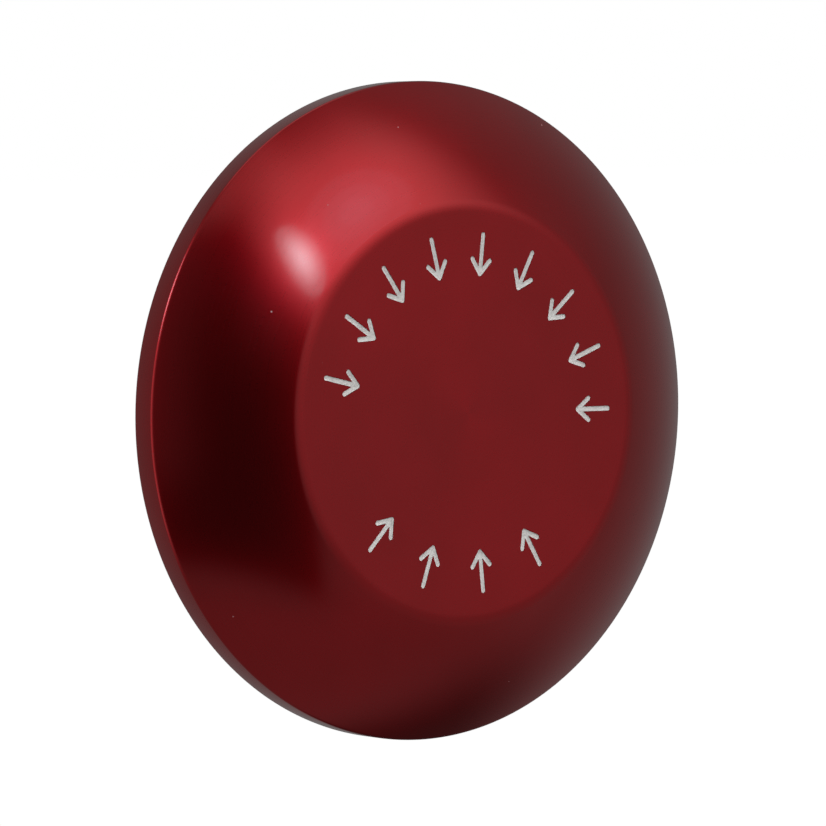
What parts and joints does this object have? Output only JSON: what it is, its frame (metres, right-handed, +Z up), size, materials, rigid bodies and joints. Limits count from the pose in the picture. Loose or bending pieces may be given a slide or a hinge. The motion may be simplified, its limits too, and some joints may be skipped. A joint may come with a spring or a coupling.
{
  "type": "emergency stop button",
  "caption": "Panel-mounted emergency stop operator: wide red mushroom head with a flat face on a short threaded bushing, with a screw-terminal contact module behind.",
  "frame": {"origin": "centre of the panel hole, on the front face of the panel, which the rear face of the gasket touches", "axes": "+Z up, -Y out of the panel towards the operator, +Y along the button axis into the enclosure, +X to the right as seen from the front"},
  "size_m": [0.0636, 0.0397, 0.0636],
  "materials": {
    "red_anodised": "turned and red anodised, satin",
    "white_paint": "matt paint in the engraving",
    "plated_zinc": "die cast and chromium plated",
    "steel": "zinc plated",
    "spring_steel": "drawn wire or strip",
    "bronze": "sintered",
    "brass": "rolled strip",
    "silver": "silver alloy, slightly tarnished",
    "rubber": "moulded nitrile",
    "black_moulding": "glass-filled moulding",
    "red_moulding": "glass-filled moulding",
    "smoked_clear": "clear smoked moulding"
  },
  "bodies": {
    "operator_body": {"return_spring": "spring_steel", "spring_seat_washer": "steel", "bushing_body": "plated_zinc", "flange_gasket": "rubber", "shaft_seal": "rubber", "shaft_bush": "bronze", "detent_cage": "black_moulding", "detent_spring": "spring_steel", "contact_base": "black_moulding", "contact_cover": "smoked_clear", "nc_fixed_tip_1": "silver", "nc_fixed_tip_2": "silver", "no_fixed_tip_1": "silver", "no_fixed_tip_2": "silver", "nc_terminal_1": "brass", "nc_terminal_2": "brass", "no_terminal_1": "brass", "no_terminal_2": "brass", "terminal_screws": "steel", "wire_clamps": "steel", "module_screws": "steel"},
    "button": {"mushroom_head": "red_anodised", "legend_fill": "white_paint", "head_lock_washer": "spring_steel", "plunger_shaft": "steel", "contact_carrier": "red_moulding", "carrier_clip": "spring_steel"},
    "nc_contact": {"nc_bridge": "brass", "nc_bridge_tip_1": "silver", "nc_bridge_tip_2": "silver", "nc_spring": "spring_steel"},
    "no_contact": {"no_bridge": "brass", "no_bridge_tip_1": "silver", "no_bridge_tip_2": "silver", "no_spring": "spring_steel"},
    "panel_nut": {"lock_washer": "steel", "mounting_nut": "plated_zinc"}
  },
  "joints": [
    {"name": "head_press", "type": "slide", "parent": "operator_body", "child": "button", "axis": [0, 1, 0], "range_m": [0, 0.005], "deforming": ["return_spring", "detent_spring"]},
    {"name": "nc_lag", "type": "slide", "parent": "button", "child": "nc_contact", "axis": [0, 1, 0], "range_m": [-0.000834, 0], "deforming": ["nc_spring"]},
    {"name": "no_lag", "type": "slide", "parent": "button", "child": "no_contact", "axis": [0, 1, 0], "range_m": [-0.000834, 0], "deforming": ["no_spring"]},
    {"name": "nut_off", "type": "slide", "parent": "operator_body", "child": "panel_nut", "axis": [0, 1, 0], "range_m": [0, 0.03]}
  ],
  "couplings": [
    {"joint": "nc_lag", "follows": "head_press", "ratio": -0.16667},
    {"joint": "no_lag", "follows": "head_press", "ratio": -0.16667}
  ]
}
